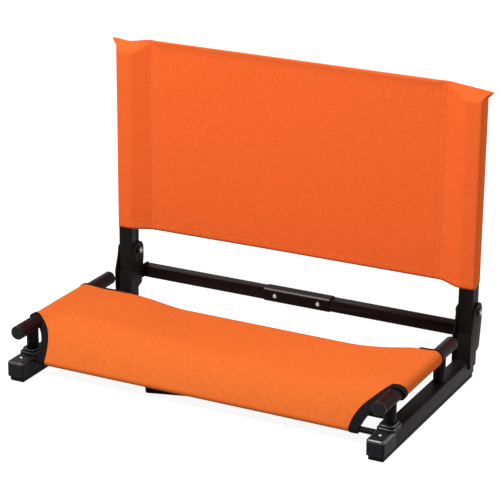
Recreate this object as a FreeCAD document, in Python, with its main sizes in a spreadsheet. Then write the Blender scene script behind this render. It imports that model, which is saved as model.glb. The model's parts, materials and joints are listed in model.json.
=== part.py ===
import FreeCAD, Part
import Sketcher
import math
import os
import re

# Folding stadium chair that stands on a bench: two base rails on rubber feet, two seat tubes on
# short posts with a cloth sling between them, a back that folds forward on two pivots, and a
# swinging hook that grips the bench. Millimetres, degrees, +Z up, the sitter faces -Y.
# Depths are counted back from the front end of the rails, heights up from the ground.

SIZES = {
    # Base rails, feet and front boots
    "rail_spacing": 610.0,
    "rail_side": 25.4,
    "rail_wall": 1.5,
    "rail_corner": 2.0,
    "rail_length": 349.0,
    "foot_width": 24.0,
    "foot_thickness": 7.5,
    "foot_edge": 1.0,
    "boot_wall": 1.5,
    "boot_fit": 0.1,
    "boot_nose": 6.0,
    "boot_length": 42.0,
    "boot_lift": 1.5,
    "boot_edge": 1.2,
    "boss_reach": 18.5,
    "boss_rim": 3.0,
    "boss_height": 3.5,
    "boss_step": 2.5,
    "boss_ledge": 1.5,
    "screw_depth": 14.0,
    "screw_diameter": 3.5,
    "screw_length": 6.0,
    "screw_head_diameter": 7.0,
    "screw_head_height": 1.6,
    # Posts, seat tubes, plugs and front rod
    "post_diameter": 19.0,
    "post_wall": 1.5,
    "front_post_depth": 48.0,
    "rear_post_inset": 43.0,
    "tube_rise": 46.1,
    "tube_diameter": 22.2,
    "tube_wall": 1.5,
    "tube_front": 9.0,
    "tube_gap": 46.0,
    "plug_cap": 3.0,
    "plug_dome": 3.0,
    "plug_shank": 15.0,
    "plug_fit": 0.1,
    "rod_diameter": 9.5,
    "rod_depth": 33.0,
    "rod_margin": 0.15,
    # Hinges
    "pivot_overhang": 5.5,
    "pivot_rise": 75.1,
    "pivot_offset": 6.0,
    "bolt_diameter": 6.0,
    "bolt_head_width": 11.0,
    "bolt_head_height": 4.0,
    "bolt_spare": 1.5,
    "nut_height": 5.0,
    "bush_wall": 1.2,
    "running_fit": 0.05,
    "washer_diameter": 14.0,
    "washer_thickness": 0.6,
    "side_play": 0.1,
    "bracket_wall": 3.0,
    "bracket_head": 15.5,
    "bracket_cheek": 12.4,
    "bracket_lap": 11.9,
    "bracket_belly": 28.5,
    "bracket_shoulder": 16.5,
    "bracket_foot_front": 27.5,
    "bracket_foot_back": 2.5,
    "bracket_waist": 8.5,
    "bracket_heel_rise": 10.0,
    "stop_thickness": 3.0,
    "stop_height": 42.0,
    "stop_gap": 0.3,
    # Rear crossbar
    "crossbar_side": 19.0,
    "crossbar_wall": 1.5,
    "crossbar_setback": 22.5,
    "crossbar_rise": 33.1,
    "crossbar_gap": 2.0,
    "ear_rim": 2.0,
    "rivet_inset": 20.5,
    "sleeve_wall": 1.8,
    "sleeve_fit": 0.2,
    "rivet_spacing": 78.0,
    "rivet_diameter": 5.0,
    "rivet_head_diameter": 9.0,
    "rivet_head_height": 2.0,
    "rivet_tail": 2.0,
    # Uprights and back cloth
    "upright_wall": 1.5,
    "upright_drop": 50.0,
    "upright_reach": 335.0,
    "recline": 0.2,
    "cloth_thickness": 1.6,
    "cloth_clearance": 0.4,
    "back_bottom": 43.0,
    "back_crease": 4.0,
    "back_peak": 23.0,
    "back_panel_forward": 1.5,
    "back_seam_inset": 46.5,
    "back_ear": 11.0,
    # Seat cloth
    "seat_front_gap": 8.5,
    "seat_back_gap": 2.5,
    "seat_skew": 16.0,
    "sag_depth": 12.5,
    "sag_tilt": 0.019,
    "sag_left_inset": 80.0,
    "sag_left_run": 105.0,
    "sag_right_run": 150.0,
    "hem_margin": 33.0,
    "hem_shift": 12.0,
    "corner_sweep": 3.0,
    "apron_slope": 60.0,
    "apron_bend": 44.0,
    "binding_width": 9.0,
    "binding_thickness": 1.0,
    # Bench hook
    "strap_depth": 56.0,
    "strap_width": 25.0,
    "strap_setback": 21.0,
    "strap_thickness": 3.0,
    "tab_width": 30.0,
    "tab_rim": 8.5,
    "hook_width": 18.0,
    "hook_thickness": 4.0,
    "hook_arm": 108.0,
    "hook_lip": 45.0,
    "hook_bend": 3.0,
    "hook_eye_flat": 0.8,
    "hook_ground_gap": 0.4,
    "hook_nut_room": 0.5,
    "hook_bolt_diameter": 6.0,
    "hook_head_width": 10.0,
    "hook_head_height": 4.0,
    "hook_nut_height": 5.0,
    "hook_washer_diameter": 14.0,
    "hook_washer_thickness": 1.0,
    "hook_play": 0.1,
    "vinyl_thickness": 1.2,
    "vinyl_length": 24.0,
}

# Places and sizes that follow from the driving ones.
LAYOUT = {
    "rail_top": "foot_thickness + rail_side",
    "rail_half": "rail_spacing / 2",
    "tube_height": "rail_top + tube_rise",
    "pivot_depth": "rail_length + pivot_overhang",
    "tube_back": "pivot_depth - bracket_belly - tube_gap",
    "tube_length": "tube_back - tube_front",
    "rear_post_depth": "tube_back - rear_post_inset",
    "rod_height": "rail_top - rod_margin - rod_diameter / 2",
    "rod_half": "rail_half - rail_side / 2",
    "boot_width": "rail_side + 2 * (boot_fit + boot_wall)",
    "boss_width": "post_diameter + 2 * (boot_fit + boss_rim + boss_ledge)",
    "boss_front": "front_post_depth - boss_reach",
    "boss_back": "front_post_depth + boss_width / 2",
    "pivot_height": "rail_top + pivot_rise",
    "bracket_half": "rail_side / 2 + bracket_wall",
    "bracket_bottom": "rail_top - bracket_lap",
    "upright_side": "rail_side - 2 * (washer_thickness + side_play)",
    "bush_diameter": "bolt_diameter + 2 * (running_fit + bush_wall)",
    "upright_front": "pivot_offset + upright_side / 2",
    "stop_back": "pivot_depth - upright_front * cos(recline) - upright_drop * sin(recline) - stop_gap",
    "stop_front": "stop_back - stop_thickness",
    "crossbar_depth": "pivot_depth + crossbar_setback",
    "crossbar_height": "rail_top + crossbar_rise",
    "crossbar_half": "rail_half - bracket_half",
    "crossbar_front": "crossbar_depth - crossbar_side / 2",
    "sleeve_length": "rivet_spacing + 2 * rivet_inset",
    "sleeve_side": "crossbar_side + 2 * (sleeve_fit + sleeve_wall)",
    "origin_depth": "(crossbar_depth + sleeve_side / 2 - boot_nose) / 2",
    "cloth_bore": "upright_side + 2 * cloth_clearance",
    "back_sleeve": "cloth_bore + 2 * cloth_thickness",
    "back_shoulder": "upright_reach + plug_cap + back_crease",
    "back_top": "back_shoulder + back_peak",
    "seat_front": "front_post_depth + post_diameter / 2 + seat_front_gap",
    "seat_back_right": "rear_post_depth - post_diameter / 2 - seat_back_gap",
    "seat_back_left": "seat_back_right - seat_skew",
    "seat_bore": "tube_diameter / 2 + cloth_clearance",
    "seat_crest": "tube_height + seat_bore + cloth_thickness",
    "sling_thickness": "cloth_thickness * 2 / 3",
    "sling_lap": "(cloth_thickness - sling_thickness) / 2",
    "hem_bore": "rod_diameter / 2 + cloth_clearance",
    "hem_half": "rod_half - hem_margin",
    "hook_drop": "strap_thickness + hook_nut_room + hook_head_width / 2",
    "hook_height": "rail_top - hook_drop",
    "hook_back": "strap_depth - hook_washer_thickness - hook_play",
    "hook_front": "hook_back - hook_thickness",
    "hook_low": "hook_width / 2 + vinyl_thickness + hook_ground_gap",
    "hook_droop": "asin((hook_height - hook_low) / hook_arm)",
}

SIDES = (("left", -1), ("right", 1))
doc = FreeCAD.newDocument("stadium_chair")
pieces = []


def linked(formula):
    """The formula with each size pointed at the cell that holds it."""
    def cell(word):
        name = word.group(0)
        if name in SIZES:
            return "Sizes." + name
        return "Layout." + name if name in LAYOUT else name
    return re.sub(r"[a-z_]+", cell, formula)


def fill_sheet(name, contents):
    sheet = doc.addObject("Spreadsheet::Sheet", name)
    for row, (alias, content) in enumerate(contents.items(), start=1):
        sheet.set(f"A{row}", alias)
        sheet.set(f"B{row}", content)
        sheet.setAlias(f"B{row}", alias)
    return sheet


sizes = fill_sheet("Sizes", {alias: str(value) for alias, value in SIZES.items()})
fill_sheet("Layout", {alias: "=" + linked(formula) for alias, formula in LAYOUT.items()})
doc.recompute()


def number(formula):
    result = sizes.evalExpression(linked(formula))
    return float(getattr(result, "Value", result))


def bind(item, **formulas):
    for name, formula in formulas.items():
        item.setExpression(name, linked(formula))


def put(item, x="0", y="0", z="0"):
    """Drives the item's position by three formulas."""
    for axis, formula in zip("xyz", (x, y, z)):
        item.setExpression("Placement.Base." + axis, linked(formula))
    return item


def keep(item, label, x="0", y="0", z="0"):
    """Names a finished piece and sets it in the chair; y is a depth behind the rails' front end."""
    item.Label = label
    pieces.append(item)
    return put(item, x, f"({y}) - origin_depth", z)


def keep_tilted(item, label, axis, angle, x, y, z):
    """As keep, with the piece turned about an axis through its own origin."""
    item.Placement = FreeCAD.Placement(FreeCAD.Vector(), FreeCAD.Rotation(axis, number(angle)))
    item.setExpression("Placement.Rotation.Angle", linked(angle))
    return keep(item, label, x, y, z)


def keep_on_back(item, label, x="0"):
    """Sets a piece of the folding back, drawn about the pivot, at the back's recline."""
    return keep_tilted(item, label, FreeCAD.Vector(1, 0, 0), "-recline", x, "pivot_depth", "pivot_height")


def block(name, wide, deep, tall, x="0", y="0", z="0"):
    """A box centred on x, running back from y and up from z."""
    item = doc.addObject("Part::Box", name)
    bind(item, Length=wide, Width=deep, Height=tall)
    return put(item, f"({x}) - ({wide}) / 2", y, z)


TURNS = {
    "x": FreeCAD.Rotation(FreeCAD.Vector(0, 1, 0), 90),
    "y": FreeCAD.Rotation(FreeCAD.Vector(1, 0, 0), -90),
    "z": FreeCAD.Rotation(),
}


def bar(name, diameter, length, along, x="0", y="0", z="0"):
    """A round bar that starts at x, y, z and runs along one axis."""
    item = doc.addObject("Part::Cylinder", name)
    bind(item, Radius=f"({diameter}) / 2", Height=length)
    item.Placement = FreeCAD.Placement(FreeCAD.Vector(), TURNS[along])
    return put(item, x, y, z)


def hexagon(name, flats, length, along, x="0", y="0", z="0"):
    """A six-sided bar given by its width across flats."""
    item = doc.addObject("Part::Prism", name)
    item.Polygon = 6
    bind(item, Circumradius=f"({flats}) / sqrt(3)", Height=length)
    item.Placement = FreeCAD.Placement(FreeCAD.Vector(), TURNS[along])
    return put(item, x, y, z)


def fuse(name, parts):
    item = doc.addObject("Part::MultiFuse", name)
    item.Shapes = parts
    item.Refine = True
    return item


def cut(name, base, tools):
    item = doc.addObject("Part::Cut", name)
    item.Base = base
    item.Tool = tools[0] if len(tools) == 1 else fuse(name + "_tools", tools)
    return item


def group(label, items):
    item = doc.addObject("Part::Compound", label)
    item.Links = items
    return keep(item, label)


def sketch_on(body, role, name, offset="0"):
    """An empty sketch on one of the body's origin planes, moved along the plane's normal."""
    sketch = body.newObject("Sketcher::SketchObject", name)
    plane = next(feature for feature in body.Origin.OriginFeatures if feature.Role == role)
    sketch.AttachmentSupport = [(plane, "")]
    sketch.MapMode = "FlatFace"
    sketch.setExpression("AttachmentOffset.Base.z", linked(offset))
    return sketch


def hold_point(sketch, geometry, position, x, y):
    for kind, formula in (("DistanceX", x), ("DistanceY", y)):
        index = sketch.addConstraint(Sketcher.Constraint(kind, geometry, position, number(formula)))
        sketch.setExpression(f"Constraints[{index}]", linked(formula))


def draw_outline(sketch, corners):
    """A closed outline of straight edges, each corner held by two driven distances."""
    points = [FreeCAD.Vector(number(x), number(y), 0) for x, y in corners]
    first = sketch.GeometryCount
    for start, end in zip(points, points[1:] + points[:1]):
        sketch.addGeometry(Part.LineSegment(start, end), False)
    for i in range(len(points)):
        following = first + (i + 1) % len(points)
        sketch.addConstraint(Sketcher.Constraint("Coincident", first + i, 2, following, 1))
    for i, (x, y) in enumerate(corners):
        hold_point(sketch, first + i, 1, x, y)
    return sketch


def draw_rectangle(sketch, low_x, low_y, high_x, high_y):
    return draw_outline(sketch, [(low_x, low_y), (high_x, low_y), (high_x, high_y), (low_x, high_y)])


def draw_circle(sketch, x, y, diameter):
    middle = FreeCAD.Vector(number(x), number(y), 0)
    radius = f"({diameter}) / 2"
    circle = sketch.addGeometry(Part.Circle(middle, FreeCAD.Vector(0, 0, 1), number(radius)), False)
    hold_point(sketch, circle, 3, x, y)
    index = sketch.addConstraint(Sketcher.Constraint("Radius", circle, number(radius)))
    sketch.setExpression(f"Constraints[{index}]", linked(radius))
    return sketch


def pad(body, sketch, length, side="One side", back=False):
    feature = body.newObject("PartDesign::Pad", sketch.Name + "_pad")
    feature.Profile = sketch
    feature.SideType = side
    feature.Reversed = back
    bind(feature, Length=length)
    return feature


def pocket(body, sketch, length=None, side="One side", back=False):
    """Cuts the sketch out of the body, through all of it where no length is given."""
    doc.recompute()
    before = body.Shape.Volume
    feature = body.newObject("PartDesign::Pocket", sketch.Name + "_pocket")
    feature.Profile = sketch
    feature.SideType = side
    feature.Reversed = back
    if length is None:
        feature.Type = "ThroughAll"
    else:
        bind(feature, Length=length)
    doc.recompute()
    if body.Shape.Volume >= before:
        raise RuntimeError(feature.Name + " cuts nothing")
    return feature


def round_edges(body, base, radius, wanted):
    """Rounds those edges of a feature for which wanted(edge) is true."""
    doc.recompute()
    names = [f"Edge{i}" for i, edge in enumerate(base.Shape.Edges, start=1) if wanted(edge)]
    feature = body.newObject("PartDesign::Fillet", base.Name + "_round")
    feature.Base = (base, names)
    bind(feature, Radius=radius)
    return feature


def runs_along(edge, axis):
    """True for a straight edge parallel to the axis, 0 for X, 1 for Y and 2 for Z."""
    return edge.Curve.TypeId == "Part::GeomLine" and abs(edge.tangentAt(edge.FirstParameter)[axis]) > 0.999


# Base rails: square steel tube, open at both ends.
for side, sign in SIDES:
    rail = doc.addObject("PartDesign::Body", side + "_rail_body")
    section = sketch_on(rail, "XZ_Plane", side + "_rail_section")
    draw_rectangle(section, "-rail_side / 2", "foot_thickness", "rail_side / 2", "rail_top")
    draw_rectangle(section, "rail_wall - rail_side / 2", "foot_thickness + rail_wall",
                   "rail_side / 2 - rail_wall", "rail_top - rail_wall")
    tube = pad(rail, section, "rail_length", back=True)
    outer = number("rail_side / 2")
    round_edges(rail, tube, "rail_corner",
                lambda edge: runs_along(edge, 1) and abs(abs(edge.CenterOfMass.x) - outer) < 0.01)
    screw_hole = sketch_on(rail, "XY_Plane", side + "_rail_screw_hole", "rail_top")
    draw_circle(screw_hole, "0", "screw_depth", "screw_diameter")
    pocket(rail, screw_hole, "rail_wall")
    keep(rail, side + "_base_rail", f"{sign} * rail_half")

# Rubber feet: solid strips glued under the rails, with eased lower edges.
for side, sign in SIDES:
    foot = doc.addObject("PartDesign::Body", side + "_foot_body")
    section = sketch_on(foot, "XZ_Plane", side + "_foot_section")
    draw_rectangle(section, "-foot_width / 2", "0", "foot_width / 2", "foot_thickness")
    strip = pad(foot, section, "rail_length", back=True)
    round_edges(foot, strip, "foot_edge", lambda edge: runs_along(edge, 1) and edge.CenterOfMass.z < 0.01)
    keep(foot, side + "_rubber_foot", f"{sign} * rail_half")

# Front boots: moulded caps over the rail ends, open below, with a stepped boss round the front post.
for side, sign in SIDES:
    boot = doc.addObject("PartDesign::Body", side + "_boot_body")
    section = sketch_on(boot, "XZ_Plane", side + "_boot_section", "boot_nose")
    boot_top = "rail_top + boot_fit + boot_wall"
    draw_rectangle(section, "-boot_width / 2", "foot_thickness + boot_lift", "boot_width / 2", boot_top)
    shell = pad(boot, section, "boot_nose + boot_length", back=True)
    nose = -number("boot_nose")
    crown = number(boot_top)
    shell = round_edges(boot, shell, "boot_edge", lambda edge: abs(edge.CenterOfMass.y - nose) < 0.01
                        or (runs_along(edge, 1) and abs(edge.CenterOfMass.z - crown) < 0.01))
    mouth = sketch_on(boot, "XZ_Plane", side + "_boot_mouth")
    draw_rectangle(mouth, "-boot_fit - rail_side / 2", "foot_thickness", "rail_side / 2 + boot_fit",
                   "rail_top + boot_fit")
    pocket(boot, mouth)
    boss = sketch_on(boot, "XY_Plane", side + "_boot_boss", "rail_top")
    draw_rectangle(boss, "-boss_width / 2", "boss_front", "boss_width / 2", "boss_back")
    pad(boot, boss, "boss_height")
    step = sketch_on(boot, "XY_Plane", side + "_boot_step", "rail_top")
    draw_rectangle(step, "boss_ledge - boss_width / 2", "boss_front + boss_ledge", "boss_width / 2 - boss_ledge",
                   "boss_back - boss_ledge")
    pad(boot, step, "boss_height + boss_step")
    holes = sketch_on(boot, "XY_Plane", side + "_boot_holes", "rail_top + boss_height + boss_step")
    draw_circle(holes, "0", "front_post_depth", "post_diameter + 2 * boot_fit")
    draw_circle(holes, "0", "screw_depth", "screw_diameter")
    pocket(boot, holes)
    rod_hole = sketch_on(boot, "YZ_Plane", side + "_boot_rod_hole")
    draw_circle(rod_hole, "rod_depth", "rod_height", "rod_diameter + 2 * boot_fit")
    pocket(boot, rod_hole, back=sign < 0)
    keep(boot, side + "_front_boot", f"{sign} * rail_half")

screws = []
for side, sign in SIDES:
    head = bar(side + "_screw_head", "screw_head_diameter", "screw_head_height", "z")
    shank = bar(side + "_screw_shank", "screw_diameter", "screw_length", "z", z="-screw_length")
    screw = fuse(side + "_boot_screw", [head, shank])
    screws.append(put(screw, f"{sign} * rail_half", "screw_depth", boot_top))
group("boot_screws", screws)

# Rail plugs: a flange flush with the tube and a shank inside it.
for side, sign in SIDES:
    inner = "rail_side - 2 * (rail_wall + plug_fit)"
    flange = block(side + "_rail_flange", "rail_side", "plug_cap", "rail_side", z="foot_thickness")
    shank = block(side + "_rail_shank", inner, "plug_shank", inner, y="-plug_shank",
                  z="foot_thickness + rail_wall + plug_fit")
    keep(fuse(side + "_rail_plug_body", [flange, shank]), side + "_rail_plug", f"{sign} * rail_half", "rail_length")

# Posts: round tube from the rail's top up to the seat tube, coped to fit under it.
for side, sign in SIDES:
    for place in ("front", "rear"):
        name = f"{side}_{place}_post"
        stock = bar(name + "_stock", "post_diameter", "tube_rise", "z")
        hollow = bar(name + "_hollow", "post_diameter - 2 * post_wall", "tube_rise", "z")
        cope = bar(name + "_cope", "tube_diameter", "2 * post_diameter", "y", y="-post_diameter", z="tube_rise")
        keep(cut(name + "_body", stock, [hollow, cope]), name, f"{sign} * rail_half", f"{place}_post_depth",
             "rail_top")

# Seat tubes, with a domed plug at the front grip end and a flat one at the rear.
for side, sign in SIDES:
    stock = bar(side + "_tube_stock", "tube_diameter", "tube_length", "y")
    hollow = bar(side + "_tube_hollow", "tube_diameter - 2 * tube_wall", "tube_length", "y")
    keep(cut(side + "_tube_body", stock, [hollow]), side + "_seat_tube", f"{sign} * rail_half", "tube_front",
         "tube_height")
    for place, facing, cap, end in (("front", 1, "plug_cap + plug_dome", "tube_front"),
                                    ("rear", -1, "plug_cap", "tube_back")):
        plug = doc.addObject("PartDesign::Body", f"{side}_tube_{place}_plug_body")
        profile = sketch_on(plug, "YZ_Plane", f"{side}_tube_{place}_plug_profile")
        shank_radius = "tube_diameter / 2 - tube_wall - plug_fit"
        draw_outline(profile, [
            (f"{facing} * plug_shank", "0"),
            (f"{facing} * plug_shank", shank_radius),
            ("0", shank_radius),
            ("0", "tube_diameter / 2"),
            (f"-{facing} * ({cap})", "tube_diameter / 2"),
            (f"-{facing} * ({cap})", "0"),
        ])
        turned = plug.newObject("PartDesign::Revolution", f"{side}_tube_{place}_plug_turned")
        turned.Profile = profile
        turned.ReferenceAxis = (profile, ["H_Axis"])
        turned.Angle = 360
        if place == "front":
            nose = -number(cap)
            round_edges(plug, turned, "plug_dome", lambda edge: abs(edge.CenterOfMass.y - nose) < 0.01)
        keep(plug, f"{side}_tube_{place}_plug", f"{sign} * rail_half", end, "tube_height")

# Front cross rod: solid bar welded between the rails' inner faces.
rod = bar("front_rod_bar", "rod_diameter", "2 * rod_half", "x")
keep(rod, "front_cross_rod", "-rod_half", "rod_depth", "rod_height")

# Hinge brackets: a sheet U astride the rail, with a stop web for the upright and an ear for the crossbar.
for side, sign in SIDES:
    bracket = doc.addObject("PartDesign::Body", side + "_bracket_body")
    wall = sketch_on(bracket, "YZ_Plane", side + "_bracket_wall")
    draw_outline(wall, [
        ("-bracket_foot_front", "bracket_bottom"),
        ("-bracket_foot_back", "bracket_bottom"),
        ("-bracket_foot_back", "rail_top + bracket_heel_rise"),
        ("bracket_waist", "rail_top + bracket_heel_rise + bracket_waist / 2"),
        ("bracket_head", "pivot_height - bracket_head"),
        ("bracket_head", "pivot_height"),
        ("0", "pivot_height"),
        ("-bracket_head / 2", "pivot_height + bracket_cheek"),
        ("-bracket_shoulder", "pivot_height + bracket_head / 2"),
        ("-bracket_shoulder - bracket_wall", "pivot_height - bracket_head / 2"),
        ("-bracket_belly", "rail_top + stop_height"),
    ])
    pad(bracket, wall, "2 * bracket_half", side="Symmetric")
    head = sketch_on(bracket, "YZ_Plane", side + "_bracket_head")
    draw_circle(head, "0", "pivot_height", "2 * bracket_head")
    pad(bracket, head, "2 * bracket_half", side="Symmetric")
    slot = sketch_on(bracket, "YZ_Plane", side + "_bracket_slot")
    draw_rectangle(slot, "-2 * bracket_belly", "0", "2 * bracket_head", "pivot_height + 2 * bracket_head")
    draw_rectangle(slot, "stop_front - pivot_depth", "rail_top", "stop_back - pivot_depth", "rail_top + stop_height")
    pocket(bracket, slot, "rail_side", side="Symmetric")
    plane = "rail_side / 2" if sign < 0 else "-bracket_half"
    ear = sketch_on(bracket, "YZ_Plane", side + "_bracket_ear", plane)
    ear_half = "(crossbar_side / 2 + ear_rim)"
    draw_rectangle(ear, "0", f"crossbar_height - {ear_half}", "crossbar_depth + crossbar_side / 2 - pivot_depth",
                   f"crossbar_height + {ear_half}")
    pad(bracket, ear, "bracket_wall")
    bolt_hole = sketch_on(bracket, "YZ_Plane", side + "_bracket_bolt_hole")
    draw_circle(bolt_hole, "0", "pivot_height", "bolt_diameter + 2 * running_fit")
    pocket(bracket, bolt_hole, "4 * bracket_half", side="Symmetric")
    keep(bracket, side + "_hinge_bracket", f"{sign} * rail_half", "pivot_depth")

# Pivot hardware: one bolt, nut and pair of spacer washers for each hinge.
bolts, nuts, washers = [], [], []
for side, sign in SIDES:
    middle = f"{sign} * rail_half"
    head = hexagon(side + "_bolt_head", "bolt_head_width", "bolt_head_height", "x", x="bracket_half")
    reach = "2 * bracket_half + nut_height + bolt_spare"
    shank = bar(side + "_bolt_shank", "bolt_diameter", reach, "x", x="-bracket_half - nut_height - bolt_spare")
    bolts.append(put(fuse(side + "_pivot_bolt", [head, shank]), middle, "pivot_depth", "pivot_height"))
    blank = hexagon(side + "_nut_blank", "bolt_head_width", "nut_height", "x")
    thread = bar(side + "_nut_thread", "bolt_diameter + 2 * running_fit", "nut_height", "x")
    nut = cut(side + "_pivot_nut", blank, [thread])
    nuts.append(put(nut, f"{middle} - bracket_half - nut_height", "pivot_depth", "pivot_height"))
    for face, start in (("inner", "-rail_side / 2"), ("outer", "rail_side / 2 - washer_thickness")):
        disc = bar(f"{side}_{face}_washer_disc", "washer_diameter", "washer_thickness", "x")
        eye = bar(f"{side}_{face}_washer_eye", "bolt_diameter + 2 * running_fit", "washer_thickness", "x")
        washer = cut(f"{side}_{face}_washer", disc, [eye])
        washers.append(put(washer, f"{middle} + {start}", "pivot_depth", "pivot_height"))
for label, items in (("pivot_bolts", bolts), ("pivot_nuts", nuts), ("pivot_washers", washers)):
    group(label, items)

# Crossbar: two square tubes welded to the brackets' ears, joined by a riveted sleeve.
rivets = []
sleeve_holes = []
for side, sign in SIDES:
    length = "(crossbar_half - crossbar_gap / 2)"
    stock = block(side + "_crossbar_stock", length, "crossbar_side", "crossbar_side")
    hollow = block(side + "_crossbar_hollow", length, "crossbar_side - 2 * crossbar_wall",
                   "crossbar_side - 2 * crossbar_wall", y="crossbar_wall", z="crossbar_wall")
    middle = f"{sign} * (crossbar_half + crossbar_gap / 2) / 2"
    rivet_x = f"{sign} * rivet_spacing / 2"
    hole = bar(side + "_crossbar_rivet_hole", "rivet_diameter", "2 * crossbar_wall", "y", f"{rivet_x} - ({middle})",
               "-crossbar_wall", "crossbar_side / 2")
    keep(cut(side + "_crossbar_body", stock, [hollow, hole]), side + "_crossbar_tube", middle, "crossbar_front",
         "crossbar_height - crossbar_side / 2")
    sleeve_holes.append(bar(side + "_sleeve_rivet_hole", "rivet_diameter", "2 * sleeve_wall", "y", rivet_x,
                            "-sleeve_wall", "sleeve_side / 2"))
    head = bar(side + "_rivet_head", "rivet_head_diameter", "rivet_head_height", "y", y="-rivet_head_height")
    shank = bar(side + "_rivet_shank", "rivet_diameter",
                "sleeve_wall + sleeve_fit + crossbar_wall + rivet_tail", "y")
    rivets.append(put(fuse(side + "_crossbar_rivet", [head, shank]), rivet_x, "crossbar_depth - sleeve_side / 2",
                      "crossbar_height"))
stock = block("sleeve_stock", "sleeve_length", "sleeve_side", "sleeve_side")
hollow = block("sleeve_hollow", "sleeve_length", "sleeve_side - 2 * sleeve_wall", "sleeve_side - 2 * sleeve_wall",
               y="sleeve_wall", z="sleeve_wall")
keep(cut("sleeve_body", stock, [hollow] + sleeve_holes), "crossbar_sleeve", y="crossbar_depth - sleeve_side / 2",
     z="crossbar_height - sleeve_side / 2")
group("crossbar_rivets", rivets)

# Uprights: square tubes drawn about the pivot, with a bush across them and a plug at each end.
for side, sign in SIDES:
    middle = f"{sign} * rail_half"
    length = "upright_reach + upright_drop"
    inner = "upright_side - 2 * upright_wall"
    stock = block(side + "_upright_stock", "upright_side", "upright_side", length, y="-upright_front",
                  z="-upright_drop")
    hollow = block(side + "_upright_hollow", inner, inner, length, y="upright_wall - upright_front",
                   z="-upright_drop")
    bush_hole = bar(side + "_upright_bush_hole", "bush_diameter", "upright_side", "x", x="-upright_side / 2")
    keep_on_back(cut(side + "_upright_body", stock, [hollow, bush_hole]), side + "_upright", middle)
    ring = bar(side + "_bush_ring", "bush_diameter", "upright_side", "x", x="-upright_side / 2")
    bore = bar(side + "_bush_bore", "bush_diameter - 2 * bush_wall", "upright_side", "x", x="-upright_side / 2")
    keep_on_back(cut(side + "_bush_body", ring, [bore]), side + "_pivot_bush", middle)
    shank_side = f"({inner} - 2 * plug_fit)"
    shank_front = "upright_wall + plug_fit - upright_front"
    for place, flange_z, shank_z in (("top", "upright_reach", "upright_reach - plug_shank"),
                                     ("bottom", "-upright_drop - plug_cap", "-upright_drop")):
        flange = block(f"{side}_{place}_flange", "upright_side", "upright_side", "plug_cap", y="-upright_front",
                       z=flange_z)
        shank = block(f"{side}_{place}_shank", shank_side, shank_side, "plug_shank", y=shank_front, z=shank_z)
        plug = fuse(f"{side}_upright_{place}_plug_body", [flange, shank])
        keep_on_back(plug, f"{side}_upright_{place}_plug", middle)


def loft_outlines(outlines):
    """A closed solid ruled through flat outlines that have the same number of corners."""
    wires = [Part.makePolygon([FreeCAD.Vector(*corner) for corner in outline + outline[:1]])
             for outline in outlines]
    return Part.makeLoft(wires, True, True)


# Back cloth: a flat panel between two sleeves that hang over the uprights, closed flat at the top.
def back_outline(height, sleeve_half, end):
    """The cloth's outline at one height: panel, then a sleeve that widens from its seam."""
    panel = number("-pivot_offset - back_panel_forward")
    axis = -number("pivot_offset")
    half = number("cloth_thickness") / 2
    wrap = number("back_sleeve") / 2
    seam = number("rail_half") - number("back_seam_inset")
    shoulder = number("rail_half") - wrap
    corner = min(number("cloth_thickness"), sleeve_half / 2)
    right = [
        (seam, panel - half), (shoulder, axis - sleeve_half), (end - corner, axis - sleeve_half),
        (end, axis - sleeve_half + corner), (end, axis + sleeve_half - corner),
        (end - corner, axis + sleeve_half), (shoulder, axis + sleeve_half), (seam, panel + half),
    ]
    left = [(-x, y) for x, y in reversed(right)]
    return [(x, y, height) for x, y in right + left]


sleeve_half = number("back_sleeve / 2")
sleeve_end = number("rail_half") + sleeve_half
back_solid = loft_outlines([
    back_outline(number("back_bottom"), sleeve_half, sleeve_end),
    back_outline(number("back_shoulder"), sleeve_half, sleeve_end),
    back_outline(number("back_top"), number("cloth_thickness"), sleeve_end + number("back_ear")),
])
for side, sign in SIDES:
    bore = number("cloth_bore")
    low = FreeCAD.Vector(sign * number("rail_half") - bore / 2, -number("pivot_offset") - bore / 2, 0)
    back_solid = back_solid.cut(Part.makeBox(bore, bore, number("back_shoulder"), low))
back = doc.addObject("Part::Feature", "back_cloth_body")
back.Shape = back_solid
keep_on_back(back, "back_cloth")


# Seat cloth: a sagging sling with a sleeve on each seat tube, falling at the front to a hem on the rod.
# It is cut a little out of square: it sags to the right, its hem sits to the left, its rear edge is skewed.
def ease(share):
    """Rises smoothly from 0 to 1."""
    share = min(max(share, 0.0), 1.0)
    return share * share * (3 - 2 * share)


def sling_height(x):
    """Height of the sling's upper face away from the front fall."""
    from_left = x + number("rail_half - sag_left_inset")
    from_right = number("rail_half") - x
    depth = number("sag_depth") + number("sag_tilt") * max(from_left, 0.0)
    hang = ease(from_left / number("sag_left_run")) * ease(from_right / number("sag_right_run"))
    return number("seat_crest - sling_lap") - depth * hang


def fall_end():
    """Depth and height where the falling cloth meets the hem."""
    slope = math.radians(number("apron_slope"))
    reach = number("hem_bore + cloth_thickness / 2")
    return number("rod_depth") - reach * math.sin(slope), number("rod_height") + reach * math.cos(slope)


def fall_share(x, depth):
    """Share of the way down the front fall, from 0 on the seat to 1 at the hem."""
    end_depth, end_height = fall_end()
    slope = math.tan(math.radians(number("apron_slope")))
    bend = end_depth + (sling_height(x) - end_height) / slope
    inward = min(max((number("rail_half") - abs(x)) / number("hem_margin"), 0.0), 1.0)
    start = bend + max(number("apron_bend") * inward, number("seat_front") - bend)
    if depth >= start:
        return 0.0
    square, linear = start - 2 * bend + end_depth, bend - start
    root = math.sqrt(max(linear * linear - square * (start - depth), 0.0))
    return min((start - depth) / (root - linear), 1.0)


def hem_end(sign):
    """Place across the chair where the hem ends on one side."""
    return sign * number("hem_half") - number("hem_shift")


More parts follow.
